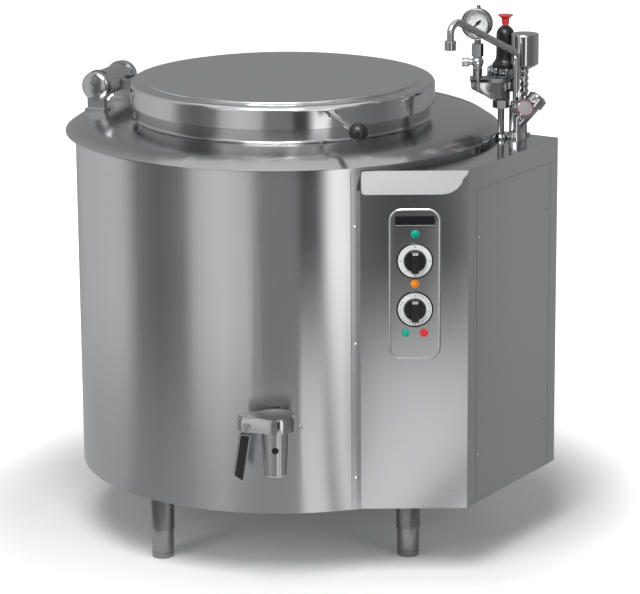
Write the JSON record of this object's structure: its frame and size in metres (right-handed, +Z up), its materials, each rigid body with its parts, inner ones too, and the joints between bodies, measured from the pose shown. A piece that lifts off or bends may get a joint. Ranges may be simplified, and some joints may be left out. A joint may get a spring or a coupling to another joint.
{
  "type": "electric boiling pan",
  "caption": "Floor-standing round boiling pan in stainless steel with a balanced hinged lid, side control box, drain tap, swivel water spout, pressure gauge and safety valve.",
  "frame": {"origin": "on the pan's vertical axis at floor level, between the four feet", "axes": "+Z up, -Y towards the cook (the side with the drain tap), +X towards the control box's side"},
  "size_m": [1.0506, 1.001, 1.155],
  "materials": {
    "stainless": "brushed, satin",
    "stainless_plain": "fine satin",
    "chrome": "polished",
    "cast": "fine cast, nickel plated",
    "black_plastic": "glossy",
    "red_plastic": "satin",
    "green_lens": "clear faceted lens",
    "orange_lens": "clear faceted lens",
    "red_lens": "clear faceted lens",
    "dial": "printed matt",
    "wool": "loose mineral wool",
    "heater": "oxidised",
    "spring_steel": "oiled",
    "clear_glass": "clear"
  },
  "bodies": {
    "pan": {"outer_casing": "stainless", "base_plate": "stainless_plain", "leg_tubes": "stainless_plain", "top_deck": "stainless", "vessel": "stainless_plain", "steam_jacket": "stainless_plain", "insulation": "wool", "heating_elements": "heater", "drain_pipe": "stainless_plain", "front_panel": "stainless", "box_frame": "stainless", "side_cover": "stainless", "box_top": "stainless", "control_plate": "stainless", "dial_rings": "dial", "switch_gear": "black_plastic", "green_lamps": "green_lens", "orange_lamp": "orange_lens", "red_lamp": "red_lens", "panel_screws": "stainless_plain", "hinge_pedestals": "stainless_plain", "barrel_caps": "chrome", "hinge_shaft": "stainless_plain", "tap_body": "chrome", "manifold": "cast", "riser_pipe": "stainless_plain", "gauge_case": "stainless_plain", "gauge_dial": "dial", "gauge_glass": "clear_glass", "gauge_cock": "chrome", "valve_body": "chrome", "valve_cap": "black_plastic", "filling_cup": "chrome", "mixer_body": "chrome"},
    "lid": {"lid_shell": "stainless", "lid_liner": "stainless_plain", "lid_handle": "chrome", "lid_ball": "black_plastic", "lid_arms": "stainless_plain", "hinge_barrel": "stainless_plain", "hinge_spring": "spring_steel"},
    "foot_1": {"foot_1": "stainless_plain"},
    "foot_2": {"foot_2": "stainless_plain"},
    "foot_3": {"foot_3": "stainless_plain"},
    "foot_4": {"foot_4": "stainless_plain"},
    "selector": {"selector_knob": "black_plastic"},
    "thermostat": {"thermostat_knob": "black_plastic"},
    "tap_handle": {"tap_lever": "chrome", "tap_plug": "chrome", "tap_pin": "chrome"},
    "tap_grip_body": {"tap_grip": "chrome", "grip_insert": "black_plastic"},
    "spout": {"swivel_spout": "chrome"},
    "front_knob": {"hot_knob": "chrome"},
    "side_knob": {"cold_knob": "chrome"},
    "pointer": {"gauge_pointer": "black_plastic"},
    "safety_knob": {"valve_knob": "red_plastic"},
    "vent_knob": {"cock_knob": "chrome"},
    "cock_handle": {"cock_lever": "chrome"},
    "cup_cover": {"cup_lid": "chrome"}
  },
  "joints": [
    {"name": "lid_hinge", "type": "hinge", "parent": "pan", "child": "lid", "pos_m": [-0.37979, 0.14351, 0.957], "axis": [-0.3535, -0.9354, 0], "range_deg": [0, 85], "stiffness_Nm_per_rad": 24, "springref_deg": 84.8},
    {"name": "foot_1_screw", "type": "slide", "parent": "pan", "child": "foot_1", "axis": [0, 0, -1], "range_m": [0, 0.025]},
    {"name": "foot_2_screw", "type": "slide", "parent": "pan", "child": "foot_2", "axis": [0, 0, -1], "range_m": [0, 0.025]},
    {"name": "foot_3_screw", "type": "slide", "parent": "pan", "child": "foot_3", "axis": [0, 0, -1], "range_m": [0, 0.025]},
    {"name": "foot_4_screw", "type": "slide", "parent": "pan", "child": "foot_4", "axis": [0, 0, -1], "range_m": [0, 0.025]},
    {"name": "selector_turn", "type": "hinge", "parent": "pan", "child": "selector", "pos_m": [0.271, -0.42, 0.686], "axis": [0, -1, 0], "range_deg": [0, 270]},
    {"name": "thermostat_turn", "type": "hinge", "parent": "pan", "child": "thermostat", "pos_m": [0.271, -0.42, 0.584], "axis": [0, -1, 0], "range_deg": [0, 300]},
    {"name": "tap_turn", "type": "hinge", "parent": "pan", "child": "tap_handle", "pos_m": [-0.016, -0.495, 0.35], "axis": [0, 0, 1], "range_deg": [0, 90]},
    {"name": "tap_grip_swing", "type": "hinge", "parent": "tap_handle", "child": "tap_grip_body", "pos_m": [-0.074, -0.495, 0.3623], "axis": [0, 1, 0], "range_deg": [0, 15]},
    {"name": "spout_swivel", "type": "hinge", "parent": "pan", "child": "spout", "pos_m": [0.49401, -0.11001, 0.95], "axis": [0, 0, 1], "range_deg": [-20, 130]},
    {"name": "front_knob_turn", "type": "hinge", "parent": "pan", "child": "front_knob", "pos_m": [0.50475, -0.13727, 0.94186], "axis": [0.2468, -0.9253, 0.2879], "range_deg": [0, 180]},
    {"name": "side_knob_turn", "type": "hinge", "parent": "pan", "child": "side_knob", "pos_m": [0.53001, -0.11001, 0.94688], "axis": [0.6039, 0, 0.7971], "range_deg": [0, 180]},
    {"name": "pointer_turn", "type": "hinge", "parent": "pan", "child": "pointer", "pos_m": [0.41301, -0.09201, 1.1175], "axis": [0.4067, 0.9135, 0], "range_deg": [0, 270], "stiffness_Nm_per_rad": 0.0006},
    {"name": "safety_knob_turn", "type": "hinge", "parent": "pan", "child": "safety_knob", "pos_m": [0.47501, -0.03001, 1.107], "axis": [0, 0, 1], "range_deg": [0, 90]},
    {"name": "vent_knob_turn", "type": "hinge", "parent": "pan", "child": "vent_knob", "pos_m": [0.39501, -0.09201, 1.035], "axis": [-1, 0, 0], "range_deg": [0, 180]},
    {"name": "cock_lever_turn", "type": "hinge", "parent": "pan", "child": "cock_handle", "pos_m": [0.41301, -0.11701, 1.035], "axis": [0, 1, 0], "range_deg": [0, 90]},
    {"name": "cup_lid_lift", "type": "slide", "parent": "pan", "child": "cup_cover", "axis": [0, 0, 1], "range_m": [0, 0.04]}
  ]
}
